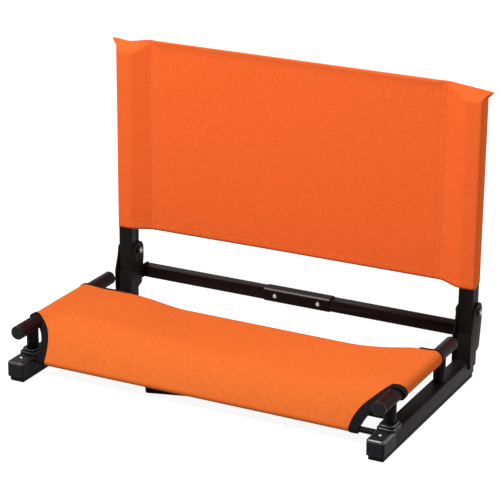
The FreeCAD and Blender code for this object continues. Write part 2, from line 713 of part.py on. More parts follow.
def sling_outline(depth, skew=0.0):
    """The cloth's outline across the chair at one depth, which the skew moves back on the right."""
    end_depth, end_height = fall_end()
    front = number("seat_front")
    forward = min(max((front - depth) / (front - end_depth), 0.0), 1.0)
    spread = (1 - forward) ** number("corner_sweep")
    left, right = [hem_end(sign) + (sign * number("rail_half") - hem_end(sign)) * spread for side, sign in SIDES]
    steps = 24
    upper = []
    for i in range(steps + 1):
        x = left + (right - left) * i / steps
        down = fall_share(x, depth) ** 2
        back = depth + skew * x / number("rail_spacing")
        upper.append((x, back, sling_height(x) * (1 - down) + end_height * down))
    thick = number("sling_thickness")
    slant = thick if depth >= front else thick / math.cos(math.radians(number("apron_slope")))
    lower = [(x, y, z - slant) for x, y, z in reversed(upper)]
    return upper + lower


front = number("seat_front")
rears = {"left": number("seat_back_left"), "right": number("seat_back_right")}
end_depth = fall_end()[0]
early = front + number("apron_bend")
fall_steps = 6
depths = [early, (early + front) / 2, front]
depths += [front + (end_depth - front) * i / fall_steps for i in range(1, fall_steps + 1)]
rear_edge = sling_outline((rears["left"] + rears["right"]) / 2, number("seat_skew"))
seat_solid = loft_outlines([rear_edge] + [sling_outline(depth) for depth in depths])
back_axis = FreeCAD.Vector(0, 1, 0)
tube_axes = {side: FreeCAD.Vector(sign * number("rail_half"), 0, number("tube_height")) for side, sign in SIDES}
sleeve_radius = number("seat_bore + cloth_thickness")
sleeves = [Part.makeCylinder(sleeve_radius, rears[side] - front, axis + back_axis * front, back_axis)
           for side, axis in tube_axes.items()]
hem_start = FreeCAD.Vector(hem_end(-1), number("rod_depth"), number("rod_height"))
hem_axis = FreeCAD.Vector(1, 0, 0)
hem_length = 2 * number("hem_half")
hem = Part.makeCylinder(number("hem_bore + cloth_thickness"), hem_length, hem_start, hem_axis)
bores = [Part.makeCylinder(number("seat_bore"), rears[side], axis + back_axis * number("rod_depth"), back_axis)
         for side, axis in tube_axes.items()]
bores.append(Part.makeCylinder(number("hem_bore"), hem_length, hem_start, hem_axis))
seat_solid = seat_solid.multiFuse(sleeves + [hem]).cut(Part.makeCompound(bores))
seat = doc.addObject("Part::Feature", "seat_cloth_body")
seat.Shape = seat_solid
keep(seat, "seat_cloth")

# Binding: tape sewn round the open ends of the seat cloth's sleeves.
tape = number("binding_width")
for side, axis in tube_axes.items():
    for place, start in (("front", front), ("rear", rears[side] - tape)):
        loop = Part.makeCylinder(sleeve_radius + number("binding_thickness"), tape, axis + back_axis * start, back_axis)
        core = Part.makeCylinder(sleeve_radius, tape, axis + back_axis * start, back_axis)
        binding = doc.addObject("Part::Feature", f"{side}_{place}_binding_body")
        binding.Shape = loop.cut(core).cut(seat_solid)
        keep(binding, f"{side}_{place}_binding")

# Hook strap: flat bar welded between the rails, with a tongue to the front that turns down for the hook's bolt.
plate = block("strap_plate", "2 * rod_half", "strap_width", "strap_thickness", y="strap_setback",
              z="-strap_thickness")
tongue = block("strap_tongue", "tab_width", "strap_setback", "strap_thickness", z="-strap_thickness")
tab = block("strap_tab", "tab_width", "strap_thickness", "hook_drop + tab_rim", z="-hook_drop - tab_rim")
hole = bar("strap_hole", "hook_bolt_diameter", "2 * strap_thickness", "y", y="-strap_thickness", z="-hook_drop")
keep(cut("strap_body", fuse("strap_blank", [plate, tongue, tab]), [hole]), "hook_strap", y="strap_depth", z="rail_top")


# Bench hook: flat bar bent to a lip at its far end, drawn about its bolt with the arm along -X.
def keep_on_hook(item, label):
    return keep_tilted(item, label, FreeCAD.Vector(0, 1, 0), "-hook_droop", "0", "hook_front", "hook_height")


hook = doc.addObject("PartDesign::Body", "hook_body")
plan = sketch_on(hook, "XY_Plane", "hook_plan")
draw_outline(plan, [
    ("hook_width / 2", "0"),
    ("hook_width / 2", "hook_thickness"),
    ("hook_thickness - hook_arm", "hook_thickness"),
    ("hook_thickness - hook_arm", "hook_thickness + hook_lip"),
    ("-hook_arm", "hook_thickness + hook_lip"),
    ("-hook_arm", "0"),
])
bent = pad(hook, plan, "hook_width", side="Symmetric")
tip = -number("hook_arm")
bent = round_edges(hook, bent, "hook_bend + hook_thickness", lambda edge: runs_along(edge, 2)
                   and abs(edge.CenterOfMass.x - tip) < 0.01 and abs(edge.CenterOfMass.y) < 0.01)
eye_end = number("hook_width / 2")
bent = round_edges(hook, bent, "hook_width / 2 - hook_eye_flat", lambda edge: runs_along(edge, 1)
                   and abs(edge.CenterOfMass.x - eye_end) < 0.01)
hook_hole = sketch_on(hook, "XZ_Plane", "hook_hole")
draw_circle(hook_hole, "0", "0", "hook_bolt_diameter + 2 * running_fit")
pocket(hook, hook_hole)
keep_on_hook(hook, "bench_hook")

vinyl_height = "hook_width + 2 * vinyl_thickness"
vinyl = block("vinyl_blank", "hook_thickness + 2 * vinyl_thickness", "vinyl_length + vinyl_thickness", vinyl_height,
              x="hook_thickness / 2 - hook_arm", y="hook_thickness + hook_lip - vinyl_length",
              z=f"-({vinyl_height}) / 2")
lip = block("vinyl_core", "hook_thickness", "vinyl_length", "hook_width", x="hook_thickness / 2 - hook_arm",
            y="hook_thickness + hook_lip - vinyl_length", z="-hook_width / 2")
keep_on_hook(cut("vinyl_body", vinyl, [lip]), "hook_vinyl_tip")

# Hook hardware: the bolt stands in the tab, and the hook turns on it against a washer.
stack = "hook_thickness + hook_play + hook_washer_thickness + strap_thickness"
head = hexagon("hook_bolt_head", "hook_head_width", "hook_head_height", "y", y="-hook_head_height")
shank = bar("hook_bolt_shank", "hook_bolt_diameter", f"{stack} + hook_play + hook_nut_height + bolt_spare", "y")
keep(fuse("hook_bolt_body", [head, shank]), "hook_bolt", y="hook_front - hook_play", z="hook_height")
disc = bar("hook_washer_disc", "hook_washer_diameter", "hook_washer_thickness", "y")
eye = bar("hook_washer_eye", "hook_bolt_diameter", "hook_washer_thickness", "y")
keep(cut("hook_washer_body", disc, [eye]), "hook_washer", y="strap_depth - hook_washer_thickness", z="hook_height")
blank = hexagon("hook_nut_blank", "hook_head_width", "hook_nut_height", "y")
thread = bar("hook_nut_thread", "hook_bolt_diameter", "hook_nut_height", "y")
keep(cut("hook_nut_body", blank, [thread]), "hook_nut", y="strap_depth + strap_thickness", z="hook_height")

doc.recompute()
for item in doc.Objects:
    if "Invalid" in item.State or "Error" in item.State:
        raise RuntimeError(f"{item.Name} failed: {item.State}")
for piece in pieces:
    if piece.Shape.isNull() or not piece.Shape.isValid():
        raise RuntimeError(piece.Label + " has no valid shape")
os.makedirs("parts", exist_ok=True)
for piece in pieces:
    piece.Shape.exportStep(f"parts/{piece.Label}.step")
print(len(pieces), "pieces written")
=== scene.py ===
import bmesh
import bpy
import json
import math
from mathutils import Matrix, Vector, noise


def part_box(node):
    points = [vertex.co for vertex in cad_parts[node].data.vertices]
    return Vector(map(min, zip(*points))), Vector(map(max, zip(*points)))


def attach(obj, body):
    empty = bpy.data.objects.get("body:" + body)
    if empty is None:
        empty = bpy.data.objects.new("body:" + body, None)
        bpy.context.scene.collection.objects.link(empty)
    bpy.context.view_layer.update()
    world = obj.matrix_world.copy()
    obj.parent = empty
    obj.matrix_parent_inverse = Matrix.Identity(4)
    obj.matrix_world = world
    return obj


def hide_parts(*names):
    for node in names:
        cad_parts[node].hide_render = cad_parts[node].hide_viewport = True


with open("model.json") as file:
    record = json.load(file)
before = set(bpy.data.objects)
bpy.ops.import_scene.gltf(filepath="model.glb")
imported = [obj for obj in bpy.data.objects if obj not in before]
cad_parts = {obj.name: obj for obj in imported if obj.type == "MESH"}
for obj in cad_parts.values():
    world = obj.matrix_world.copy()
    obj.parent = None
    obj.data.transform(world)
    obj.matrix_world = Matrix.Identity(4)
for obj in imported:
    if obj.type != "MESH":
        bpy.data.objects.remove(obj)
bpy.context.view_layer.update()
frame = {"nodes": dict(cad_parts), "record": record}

# Base rails: two lengths of square steel tube that lie along the chair and carry everything else.
# They are powder coated black, which leaves a soft sheen and a faint orange-peel texture.
mm = 0.001
weld_gap = 0.01 * mm
crease_angle = math.radians(40)
sides = {"left": -1, "right": 1}
body_of = {node: body for body, nodes in frame["record"]["behaviour"]["bodies"].items() for node in nodes}


def coat_texture():
    """Group: the fine pebbled skin of a baked coat or a moulded plastic."""
    group = bpy.data.node_groups.new("coat_texture", "ShaderNodeTree")
    for name, kind in (("Vector", "NodeSocketVector"), ("Pebble Scale", "NodeSocketFloat"),
                       ("Cloud Scale", "NodeSocketFloat")):
        group.interface.new_socket(name, in_out="INPUT", socket_type=kind)
    for name in ("Tone", "Height"):
        group.interface.new_socket(name, in_out="OUTPUT", socket_type="NodeSocketFloat")
    inside, outside = group.nodes.new("NodeGroupInput"), group.nodes.new("NodeGroupOutput")
    for scale, target, detail in (("Pebble Scale", "Height", 2.0), ("Cloud Scale", "Tone", 4.0)):
        cells = group.nodes.new("ShaderNodeTexNoise")
        cells.inputs["Detail"].default_value = detail
        group.links.new(inside.outputs["Vector"], cells.inputs["Vector"])
        group.links.new(inside.outputs[scale], cells.inputs["Scale"])
        group.links.new(cells.outputs["Fac"], outside.inputs[target])
    return group


coat_group = coat_texture()


def coated(name, dark, light, roughness, specular, pebble=1400.0, cloud=60.0, bump=0.12):
    """A coat or plastic whose colour and gloss drift a little and whose skin is finely pebbled."""
    gloss_drift = 0.06
    material = bpy.data.materials.new(name)
    material.use_nodes = True
    nodes, links = material.node_tree.nodes, material.node_tree.links
    surface = nodes["Principled BSDF"]
    position = nodes.new("ShaderNodeTexCoord")
    skin = nodes.new("ShaderNodeGroup")
    skin.node_tree = coat_group
    skin.inputs["Pebble Scale"].default_value = pebble
    skin.inputs["Cloud Scale"].default_value = cloud
    links.new(position.outputs["Object"], skin.inputs["Vector"])
    tone = nodes.new("ShaderNodeMix")
    tone.data_type = "RGBA"
    tone.inputs["A"].default_value = (*dark, 1)
    tone.inputs["B"].default_value = (*light, 1)
    links.new(skin.outputs["Tone"], tone.inputs["Factor"])
    links.new(tone.outputs["Result"], surface.inputs["Base Color"])
    gloss = nodes.new("ShaderNodeMapRange")
    gloss.inputs["To Min"].default_value = roughness - gloss_drift
    gloss.inputs["To Max"].default_value = roughness + gloss_drift
    links.new(skin.outputs["Tone"], gloss.inputs["Value"])
    links.new(gloss.outputs["Result"], surface.inputs["Roughness"])
    relief = nodes.new("ShaderNodeBump")
    relief.inputs["Strength"].default_value = bump
    relief.inputs["Distance"].default_value = 0.05 * mm
    links.new(skin.outputs["Height"], relief.inputs["Height"])
    links.new(relief.outputs["Normal"], surface.inputs["Normal"])
    surface.inputs["Specular IOR Level"].default_value = specular
    return material


def settle(piece, body, slot, *nodes):
    """Fixes a finished piece to its body and hides the CAD nodes that it stands for; its finish slot is not
    used.
    """
    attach(piece, body)
    if nodes:
        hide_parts(*nodes)
    return piece


def runs_along(edge, direction):
    """Whether an edge lies in a direction. Where none is given, every edge does."""
    parallel = 0.99
    if direction is None:
        return True
    run = (edge.verts[1].co - edge.verts[0].co).normalized()
    return abs(run.dot(direction)) > parallel


def rounded_copy(node, material, slot, radius, run=None):
    """A copy of a CAD node, its triangles merged into faces and its sharp edges rounded.
    Where run is given, only the edges in that direction are, and the others stay sharp."""
    mesh = frame["nodes"][node].data.copy()
    shape = bmesh.new()
    shape.from_mesh(mesh)
    bmesh.ops.remove_doubles(shape, verts=shape.verts, dist=weld_gap)
    bmesh.ops.dissolve_limit(shape, angle_limit=math.radians(1), verts=shape.verts, edges=shape.edges)
    weight = shape.edges.layers.float.new("bevel_weight_edge")
    for edge in shape.edges:
        if len(edge.link_faces) == 2 and edge.calc_face_angle() > crease_angle:
            edge.smooth = runs_along(edge, run)
            edge[weight] = float(edge.smooth)
    shape.to_mesh(mesh)
    shape.free()
    mesh.materials.clear()
    mesh.materials.append(material)
    mesh.shade_smooth()
    piece = bpy.data.objects.new(node + "_formed", mesh)
    bpy.context.collection.objects.link(piece)
    edges = piece.modifiers.new("rounded_edges", "BEVEL")
    edges.width = radius
    edges.segments = 4
    edges.limit_method = "WEIGHT"
    edges.use_clamp_overlap = True
    edges.harden_normals = True
    return settle(piece, body_of[node], slot, node)


black_coat = coated("black_coat", (0.0088, 0.0066, 0.0066), (0.0124, 0.0098, 0.0098), 0.42, 0.032, bump=0.08)
for side in sides:
    rounded_copy(side + "_base_rail", black_coat, "black_frame", 0.4 * mm)

# Rubber feet: solid strips glued under the rails, which keep the chair from sliding on the bench.
# They are matt black rubber, paler where the mould has left its bloom.
foot_rubber = coated("foot_rubber", (0.004, 0.004, 0.004), (0.008, 0.008, 0.008), 0.7, 0.1,
                     pebble=900.0, bump=0.3)
for side in sides:
    rounded_copy(side + "_rubber_foot", foot_rubber, "foot_rubber", 0.5 * mm)

# Front boots: moulded plastic caps pushed over the rail ends, with a stepped boss that seats the front post.
# One zinc-plated screw holds each. The flats are finely grained, and the upper edges get a glossier finish
# than the flats so that they catch the key lamp: a painted highlight.
boot_plastic = coated("boot_plastic", (0.0130, 0.0134, 0.0146), (0.0180, 0.0184, 0.0200), 0.2, 0.025,
                      pebble=500.0, bump=0.03)
# The glossier copy of the plastic for the upper edges, a painted highlight where the key lamp falls.
boot_edge = coated("boot_edge", (0.0080, 0.0082, 0.0092), (0.0120, 0.0124, 0.0136), 0.3, 0.65,
                   pebble=500.0, bump=0.03)
highlight_from, highlight_to = 0.15, 0.98
rail_half = 305.0 * mm
rails_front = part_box("left_base_rail")[0][1]
# Each block's low and high corner from the rail's end, corner radius and crown radius, in millimetres.
boot_blocks = (
    ((-14.3, -6.0, 9.0), (14.3, 42.0, 34.5), 5.0, 4.4),
    ((-14.1, 29.5, 30.0), (14.1, 62.0, 38.2), 5.0, 1.5),
    ((-12.3, 31.5, 34.0), (12.3, 60.5, 42.4), 8.0, 1.8))


def block_between(shape, low, high):
    """Adds a plain block to a shape and returns its points."""
    spread = Matrix.Translation((low + high) / 2) @ Matrix.Diagonal((*(high - low), 1.0))
    return bmesh.ops.create_cube(shape, size=1.0, matrix=spread)["verts"]


def round_off(shape, edges, radius, segments):
    """Rounds some of a shape's edges by one radius."""
    bmesh.ops.bevel(shape, geom=edges, offset=radius, affect="EDGES", segments=segments, profile=0.5,
                    material=-1)


def rounded_block(shape, low, high, corner, crown):
    """A moulded block: its upright corners rounded by one radius and its top edge by another."""
    block = set(block_between(shape, low, high))
    tall = (high.z - low.z) / 2
    upright = [edge for edge in shape.edges
               if edge.verts[0] in block and abs(edge.verts[0].co.z - edge.verts[1].co.z) > tall]
    round_off(shape, upright, corner, 5)
    rim = [edge for edge in shape.edges if all(abs(vert.co.z - high.z) < weld_gap for vert in edge.verts)]
    round_off(shape, rim, crown, 4)


def as_piece(shape, name, *materials):
    """Turns a finished shape into an object with soft shading and flat faces kept flat."""
    mesh = bpy.data.meshes.new(name)
    shape.to_mesh(mesh)
    shape.free()
    mesh.shade_smooth()
    mesh.set_sharp_from_angle(angle=math.radians(50))
    for material in materials:
        mesh.materials.append(material)
    piece = bpy.data.objects.new(name, mesh)
    bpy.context.collection.objects.link(piece)
    even = piece.modifiers.new("flat_faces", "WEIGHTED_NORMAL")
    even.keep_sharp = True
    return piece


for side, sign in sides.items():
    boot = bmesh.new()
    rail_end = Vector((sign * rail_half, rails_front, 0.0))
    for low, high, corner, crown in boot_blocks:
        rounded_block(boot, rail_end + Vector(low) * mm, rail_end + Vector(high) * mm,
                      corner * mm, crown * mm)
    boot.normal_update()
    # Faces tilted upwards, the upper edges, take the painted highlight finish.
    for face in boot.faces:
        face.material_index = int(highlight_from < face.normal.z < highlight_to)
    moulding = as_piece(boot, side + "_boot_moulding", boot_plastic, boot_edge)
    settle(moulding, "base", "boot_plastic", side + "_front_boot")


def plated_steel(name, dull, bright):
    """Zinc plating, with the faint streaks of drawn wire and turned heads."""
    blue_share = 0.98
    polished, worn = 0.22, 0.42
    material = bpy.data.materials.new(name)
    material.use_nodes = True
    nodes, links = material.node_tree.nodes, material.node_tree.links
    surface = nodes["Principled BSDF"]
    position = nodes.new("ShaderNodeTexCoord")
    streaks = nodes.new("ShaderNodeTexNoise")
    streaks.inputs["Scale"].default_value = 700.0
    streaks.inputs["Detail"].default_value = 3.0
    links.new(position.outputs["Object"], streaks.inputs["Vector"])
    tint = nodes.new("ShaderNodeValToRGB")
    tint.color_ramp.elements[0].color = (dull, dull, dull * blue_share, 1)
    tint.color_ramp.elements[1].color = (bright, bright, bright * blue_share, 1)
    links.new(streaks.outputs["Fac"], tint.inputs["Fac"])
    links.new(tint.outputs["Color"], surface.inputs["Base Color"])
    gloss = nodes.new("ShaderNodeMapRange")
    gloss.inputs["To Min"].default_value = polished
    gloss.inputs["To Max"].default_value = worn
    links.new(streaks.outputs["Fac"], gloss.inputs["Value"])
    links.new(gloss.outputs["Result"], surface.inputs["Roughness"])
    surface.inputs["Metallic"].default_value = 1.0
    return material


fine_gap = 0.005 * mm


def turned_head(shape, outline, place):
    """A turned head: its outline of (radius, height) pairs in millimetres, spun and set in place."""
    head = bmesh.new()
    points = [head.verts.new((radius * mm, 0.0, height * mm)) for radius, height in outline]
    edges = [head.edges.new(pair) for pair in zip(points, points[1:])]
    bmesh.ops.spin(head, geom=points + edges, cent=(0, 0, 0), axis=(0, 0, 1), angle=math.tau, steps=24,
                   use_merge=True)
    bmesh.ops.remove_doubles(head, verts=head.verts, dist=fine_gap)
    bmesh.ops.recalc_face_normals(head, faces=head.faces)
    bmesh.ops.transform(head, matrix=place, verts=head.verts)
    store = bpy.data.meshes.new("turned_head")
    head.to_mesh(store)
    head.free()
    shape.from_mesh(store)
    bpy.data.meshes.remove(store)


zinc = plated_steel("plated_steel", 0.46, 0.74)
screw_outline = ((0.0, 0.4), (0.8, 0.4), (1.0, 1.1), (1.6, 1.1), (2.2, 0.7), (2.4, 0.1), (2.4, -1.5),
                 (0.0, -1.5))
screw_depth = 14.0 * mm
boot_top = boot_blocks[0][1][2] * mm
screws = bmesh.new()
for sign in sides.values():
    turned_head(screws, screw_outline,
                Matrix.Translation((sign * rail_half, rails_front + screw_depth, boot_top)))
settle(as_piece(screws, "boot_screw_heads", zinc), "base", "bright_steel", "boot_screws")

# Posts and seat tubes: short round posts welded between the rails and the tubes that the seat cloth hangs on.
# All are coated like the rails; the seat tubes' coat is tinted reddish, a painted reflection of the orange
# cloth beside them.
# A push-in plastic plug closes each open end, and a thin rod joins the front posts.
plug_plastic = coated("plug_plastic", (0.0045, 0.0045, 0.0047), (0.0075, 0.0075, 0.0078), 0.45, 0.12,
                      pebble=1200.0)
# The seat tubes' reddish tint is a painted reflection of the orange cloth.
tube_coat_painted_reflection = coated("tube_coat_painted_reflection", (0.0155, 0.0056, 0.0058), (0.0215, 0.0080, 0.0082), 0.42, 0.032, bump=0.08)
for side in sides:
    rounded_copy(side + "_front_post", black_coat, "black_frame", 0.25 * mm)
    rounded_copy(side + "_rear_post", black_coat, "black_frame", 0.25 * mm)
    rounded_copy(side + "_seat_tube", tube_coat_painted_reflection, "black_frame", 0.3 * mm)
    rounded_copy(side + "_tube_front_plug", plug_plastic, "plug_plastic", 0.4 * mm)
    rounded_copy(side + "_tube_rear_plug", plug_plastic, "plug_plastic", 0.5 * mm)
    rounded_copy(side + "_rail_plug", plug_plastic, "plug_plastic", 0.6 * mm)
rounded_copy("front_cross_rod", black_coat, "black_frame", 0.25 * mm)

# Hinge brackets: sheet steel bent to a U astride each rail, welded on, with a stop web behind the hips.
# A bolt, lock nut and two nylon washers carry each upright between the bracket's cheeks.
nylon = coated("nylon", (0.012, 0.012, 0.012), (0.02, 0.02, 0.02), 0.45, 0.2)
for side in sides:
    rounded_copy(side + "_hinge_bracket", black_coat, "black_frame", 0.7 * mm)
    rounded_copy(side + "_pivot_bush", zinc, "bright_steel", 0.2 * mm)
dull_zinc = plated_steel("dull_zinc", 0.05, 0.12)
rounded_copy("pivot_bolts", dull_zinc, "bright_steel", 0.8 * mm)
rounded_copy("pivot_nuts", dull_zinc, "bright_steel", 0.8 * mm)
rounded_copy("pivot_washers", nylon, "nylon", 0.1 * mm)
bolts_low, bolts_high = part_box("pivot_bolts")
pivot = (bolts_low + bolts_high) / 2
pivot.x = 0.0
crown_outline = ((0.0, 1.0), (1.2, 0.9), (2.1, 0.5), (2.4, 0.0), (2.4, -0.6), (0.0, -0.6))
bolt_crowns = bmesh.new()
bolt_points = [vert.co.x for vert in frame["nodes"]["pivot_bolts"].data.vertices]
for head_face in (max(x for x in bolt_points if x < 0), max(bolt_points)):
    turned_head(bolt_crowns, crown_outline,
                Matrix.Translation((head_face, pivot.y, pivot.z)) @ Matrix.Rotation(math.pi / 2, 4, "Y"))
settle(as_piece(bolt_crowns, "pivot_bolt_crowns", zinc), "base", "bright_steel")

# Rear crossbar: two square tubes welded to the brackets' ears and joined by a riveted sleeve in the middle.
# The rivets have a dull flange and a bright dome, with the broken stem showing in the middle.
# The sleeve's upper front edge, which faces the key lamp, is coloured paler and made glossier than the rest:
# a painted highlight.
sideways, upwards = Vector((1, 0, 0)), Vector((0, 0, 1))
tube_corner = 1.8 * mm
# The crossbar's coat is tinted reddish, a painted reflection of the orange seat cloth.
bar_coat_painted_reflection = coated("bar_coat_painted_reflection", (0.0092, 0.0036, 0.0036), (0.0130, 0.0058, 0.0058), 0.42, 0.025, bump=0.08)
for side in sides:
    rounded_copy(side + "_crossbar_tube", bar_coat_painted_reflection, "black_frame", tube_corner, sideways)
# Paler, glossier finish for the sleeve's upper front edge: a painted highlight.
painted_highlight_edge = coated("painted_highlight_edge", (0.030, 0.027, 0.026), (0.052, 0.047, 0.045), 0.36, 0.4,
                     cloud=200.0, bump=0.08)
highlight_slope = 0.3
sleeve_low, sleeve_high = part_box("crossbar_sleeve")
sleeve = bmesh.new()
block_between(sleeve, sleeve_low, sleeve_high)
for direction, radius in ((sideways, 4.0 * mm), (None, 0.5 * mm)):
    creases = [edge for edge in sleeve.edges
               if edge.calc_face_angle() > crease_angle and runs_along(edge, direction)]
    round_off(sleeve, creases, radius, 6)
sleeve.normal_update()
# Faces tilted up and to the front take the painted highlight.
for face in sleeve.faces:
    face.material_index = int(face.normal.y < -highlight_slope and face.normal.z > highlight_slope)
sleeve_piece = as_piece(sleeve, "crossbar_sleeve_pressed", bar_coat_painted_reflection, painted_highlight_edge)
settle(sleeve_piece, "base", "black_frame", "crossbar_sleeve")

rivet_low, rivet_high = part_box("crossbar_rivets")
flange_radius, dome_radius = 4.5 * mm, 2.4 * mm
rivet_height = (rivet_low.z + rivet_high.z) / 2
rivet_half_gap = (rivet_high.x - rivet_low.x) / 2 - flange_radius
rivet_outline = ((0.0, 0.9), (0.9, 1.0), (1.1, 1.8), (1.9, 1.6), (2.5, 1.0), (4.2, 0.5), (4.5, 0.0),
                 (4.5, -1.0), (0.0, -1.0))
rivets = bmesh.new()
for x in (-rivet_half_gap, rivet_half_gap):
    turned_head(rivets, rivet_outline,
                Matrix.Translation((x, sleeve_low.y, rivet_height)) @ Matrix.Rotation(math.pi / 2, 4, "X"))
for face in rivets.faces:
    centre = face.calc_center_median()
    off_axis = Vector((abs(centre.x) - rivet_half_gap, centre.z - rivet_height)).length
    face.material_index = int(off_axis > dome_radius)
rivet_heads = as_piece(rivets, "crossbar_rivet_heads", zinc, dull_zinc)
settle(rivet_heads, "base", "bright_steel", "crossbar_rivets")

# Uprights: square tubes that turn on the pivots, with the back cloth pulled over them.
# Their long edges are rounded as drawn tube is, and a plastic plug closes each end.
for side in sides:
    rounded_copy(side + "_upright", black_coat, "black_frame", tube_corner, upwards)
    rounded_copy(side + "_upright_top_plug", plug_plastic, "plug_plastic", 0.8 * mm)
    rounded_copy(side + "_upright_bottom_plug", plug_plastic, "plug_plastic", 0.8 * mm)

# Back cloth: one strip of orange canvas whose ends fold round the uprights and are sewn down in two rows.
# The sleeves' tops are sewn flat like a pillowcase, so their corners stand out as small ears.
back_lean = math.radians(-0.2)
lean = Matrix.Translation(pivot) @ Matrix.Rotation(back_lean, 4, "X")
canvas_thickness = 1.3 * mm
upright_axis, panel_plane = -6.0 * mm, -7.5 * mm
sleeve_half = 13.1 * mm
seam_half, seam_overlap = 258.5 * mm, 10 * mm
slope_width = 34.0 * mm
ear_half = 330.0 * mm
back_bottom, back_top = 45.6 * mm, 365.5 * mm
back_tilt = 0.0050
seam_rows = (seam_half - 1.0 * mm, seam_half - 9.3 * mm)

front_face, rear_face = upright_axis - sleeve_half, upright_axis + sleeve_half
outer_edge, inner_edge = rail_half + sleeve_half, rail_half - sleeve_half
rear_seam = (seam_half - seam_overlap, panel_plane + canvas_thickness)
sleeve_section = [Vector(corner) for corner in (
    (0.0, panel_plane), (seam_half, panel_plane), (inner_edge, front_face), (outer_edge, front_face),
    (outer_edge, rear_face), (inner_edge, rear_face), rear_seam)]
flat_section = [Vector(corner) for corner in (
    (seam_half, panel_plane), (ear_half, upright_axis - canvas_thickness / 2),
    (ear_half, upright_axis + canvas_thickness / 2), rear_seam)]


def run_length(corners):
    """Length of a run of straight stretches from corner to corner."""
    return sum((end - start).length for start, end in zip(corners, corners[1:]))


def along(corners, distance):
    """The point at a distance along a run of straight stretches, which go on beyond its ends."""
    for start, end in zip(corners[:-1], corners[1:]):
        stretch = (end - start).length
        if distance <= stretch or end == corners[-1]:
            return start.lerp(end, distance / stretch)
        distance -= stretch


def softly_along(corners, distance, radius):
    """As along, with the corners rounded as cloth rounds them."""
    taps = 9
    points = [along(corners, distance + radius * (2 * tap / (taps - 1) - 1)) for tap in range(taps)]
    return sum(points, Vector((0.0, 0.0))) / taps


def ease(share):
    """Goes smoothly from 0 to 1 while its share does, and stays there beyond."""
    share = min(max(share, 0.0), 1.0)
    return share * share * (3 - 2 * share)


strip_half = run_length(sleeve_section)
sleeve_run = strip_half - seam_half
flat_run = run_length(flat_section)


def ear_sink(sign, x):
    """How far the sleeve's sewn top lies below the panel's top line: a straight slope on the right,
    a hollow one on the left."""
    right_sink, right_run = 8.5 * mm, 72 * mm
    left_sink, left_run = 6.5 * mm, 44 * mm
    tip_rise, tip_start, tip_run = 2.5 * mm, 300 * mm, 30 * mm
    if sign > 0:
        return right_sink * min(max((x - seam_half) / right_run, 0.0), 1.0)
    return left_sink * ease((x - seam_half) / left_run) - tip_rise * ease((x - tip_start) / tip_run)


hem_roll = 1.6 * mm


def crease_drop(distance):
    """How far below the sewn top the sleeve starts to flatten."""
    gather_depth, gather_run = 8 * mm, 14 * mm
    dip, dip_run = 15 * mm, 42 * mm
    rise, rise_start, rise_run = 4 * mm, 50 * mm, 14 * mm
    beyond = max(distance - seam_half, 0.0)
    from_seam = min(beyond, sleeve_run - beyond)
    gather = gather_depth * ease((distance - seam_half + gather_run) / gather_run)
    gather *= ease((strip_half - distance) / gather_run)
    flattening = dip * ease(from_seam / dip_run) - rise * ease((from_seam - rise_start) / rise_run)
    return max(hem_roll, gather) + flattening


def bottom_height(sign, distance, tilt):
    """Height of the bottom hem: lower on the left, slack before the uprights, raised behind them."""
    left_drop = 1.2
    slack, front_share = {-1: 0.8 * mm, 1: 3.6 * mm}[sign], 0.62
    rise, rise_start, rise_run = 4 * mm, 58 * mm, 30 * mm
    beyond = max(distance - seam_half, 0.0)
    in_front = ease(beyond / slope_width) * ease((sleeve_run * front_share - beyond) / slope_width)
    behind = ease((beyond - rise_start) / rise_run) * ease((sleeve_run - beyond) / slope_width)
    return back_bottom - left_drop * max(tilt, 0.0) - slack * in_front + rise * behind


def ripple(sign, distance, x, height):
    """Puckers beside the seams, grooves that the stitches pull in, and a slow unevenness of the cloth."""
    pucker_depth, pucker_pitch, pucker_inset, pucker_width = 0.2 * mm, 2.1 * mm, 5 * mm, 7 * mm
    groove_depth, groove_width = 0.45 * mm, 1.5 * mm
    drift_depth, drift_across, drift_up = 0.7 * mm, 5, 4
    front_layer, rear_layer, rear_start = 2.0, 3.0, 60 * mm
    layer = rear_layer if distance > seam_half + rear_start else front_layer
    pucker = math.sin(height / pucker_pitch)
    pucker *= math.exp(-((distance - seam_half + pucker_inset) / pucker_width) ** 2)
    groove = sum(math.exp(-((distance - row) / groove_width) ** 2) for row in seam_rows)
    drift = noise.noise(Vector((sign * x * drift_across, height * drift_up, layer)))
    return pucker_depth * pucker + groove_depth * groove + drift_depth * drift


def back_point(across, up):
    """A point of the back cloth: a signed distance along the strip, and a share of the way up it to the
    crease below the sewn top, from 0 to 1, and on to the top edge, from 1 to 2."""
    fold_radius, ear_flare, curl = 4 * mm, 0.6, 0.9 * hem_roll
    hem_swell, hem_reach, hem_blend, hem_inset, hem_end_run = 1.5 * mm, 11 * mm, 9 * mm, 6 * mm, 10 * mm
    sign, distance = (1 if across >= 0 else -1), abs(across)
    beyond = max(distance - seam_half, 0.0)
    x, y = softly_along(sleeve_section, distance, fold_radius)
    tilt = -back_tilt * sign * x
    top = back_top + tilt
    crease = top - crease_drop(distance)
    bottom = bottom_height(sign, distance, tilt)
    fold = min(max(up - 1, 0.0), 1.0)
    height = bottom + (crease - bottom) * min(up, 1.0)
    if beyond > 0:
        flat_x, flat_y = along(flat_section, beyond * flat_run / sleeve_run)
        x, y = x + (flat_x - x) * fold ** ear_flare, y + (flat_y - y) * fold
    else:
        y += curl * fold * fold
    hem_band = ease((height - crease + hem_reach) / hem_blend)
    y -= hem_swell * hem_band * ease((seam_half - hem_inset - distance) / hem_end_run)
    height += (top - ear_sink(sign, x) - crease) * fold
    y += ripple(sign, distance, x, height) * (1 - fold)
    return lean @ Vector((sign * x, y, height))


def stations(start, *stretches):
    """Places along a line: each stretch gives the place it runs to and its number of equal steps."""
    places = [start]
    for end, steps in stretches:
        first = places[-1]
        places += [first + (end - first) * step / steps for step in range(1, steps + 1)]
    return places


